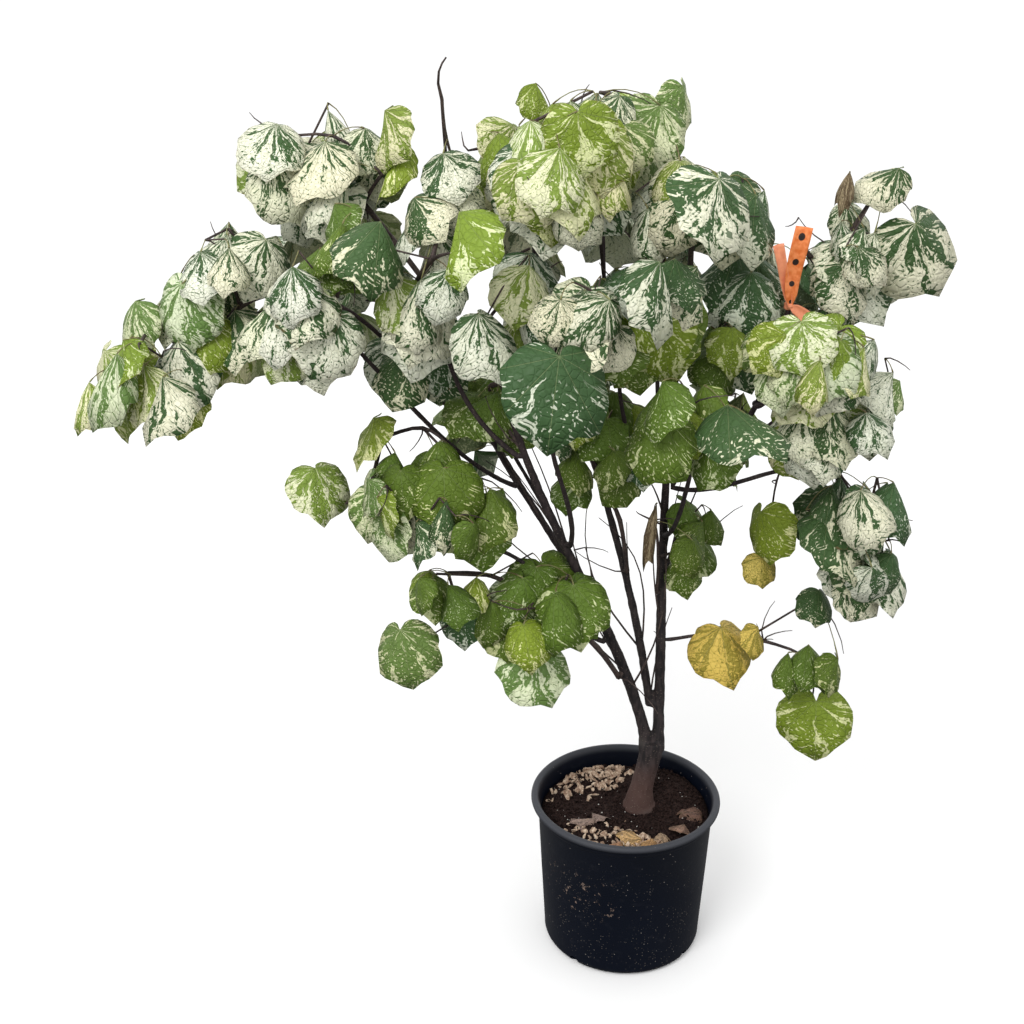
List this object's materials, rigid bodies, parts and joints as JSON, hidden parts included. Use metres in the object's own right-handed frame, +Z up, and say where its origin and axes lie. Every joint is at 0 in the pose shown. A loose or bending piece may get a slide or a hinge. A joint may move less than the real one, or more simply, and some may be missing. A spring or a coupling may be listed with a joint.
{
  "type": "potted redbud tree",
  "caption": "Young variegated redbud about 1.3 m tall: slim forking stems and wide masses of hanging heart-shaped leaves, in a round black nursery pot of soil.",
  "frame": {"origin": "middle of the pot's flat underside, on the ground", "axes": "+Z up, -Y towards the front of the plant as pictured, +X to its right"},
  "size_m": [1.1453, 0.6496, 1.3163],
  "materials": {
    "pot_plastic": "black, dusty and scuffed, satin",
    "potting_soil": "dark crumbs with bark chips, matte",
    "bark": "smooth dark brown bark, redder at the foot",
    "marker_tape": "thin orange film, a little glossy",
    "white_leaves": "white and pale green, flecked with dark green",
    "cream_leaves": "cream with lime blotches",
    "lime_leaves": "lime green with pale veins",
    "green_leaves": "mid green, some flecked with white",
    "dark_leaves": "dark green with white streaks at the edges",
    "brown_leaves": "dry, tan and curled"
  },
  "bodies": {
    "root": {"back_centre_bough": "bark", "back_centre_foliage": "white_leaves", "back_left_bough": "bark", "back_left_foliage": "white_leaves", "back_low_left_bough": "bark", "back_low_left_foliage": "green_leaves", "back_low_right_bough": "bark", "back_low_right_foliage": "green_leaves", "back_mid_bough": "bark", "back_mid_foliage": "white_leaves", "back_right_bough": "bark", "back_right_foliage": "dark_leaves", "back_top_bough": "bark", "back_top_foliage": "cream_leaves", "centre_bough": "bark", "centre_left_foliage": "white_leaves", "far_left_bough": "bark", "far_left_foliage": "lime_leaves", "flat_right_bough": "bark", "flat_right_foliage": "dark_leaves", "front_bough": "bark", "front_foliage": "dark_leaves", "inner_foliage": "green_leaves", "inner_left_foliage": "green_leaves", "left_front_bough": "bark", "left_front_foliage": "white_leaves", "left_mid_bough": "bark", "left_mid_foliage": "white_leaves", "left_outer_bough": "bark", "left_stem": "bark", "low_left_bough": "bark", "low_left_foliage": "green_leaves", "low_middle_foliage": "green_leaves", "low_right_foliage": "green_leaves", "marker_tape": "marker_tape", "middle_bough": "bark", "middle_foliage": "green_leaves", "pot": "pot_plastic", "right_back_foliage": "dark_leaves", "right_bough": "bark", "right_hang_bough": "bark", "right_hang_foliage": "dark_leaves", "right_lower_bough": "bark", "right_lower_foliage": "white_leaves", "right_shelf_bough": "bark", "right_shelf_foliage": "lime_leaves", "right_stem": "bark", "right_tip_foliage": "white_leaves", "right_upper_foliage": "white_leaves", "soil": "potting_soil", "stem_side_foliage": "brown_leaves", "top_bough": "bark", "top_foliage": "lime_leaves", "top_left_foliage": "cream_leaves", "trunk": "bark", "upper_left_foliage": "white_leaves"}
  },
  "joints": []
}
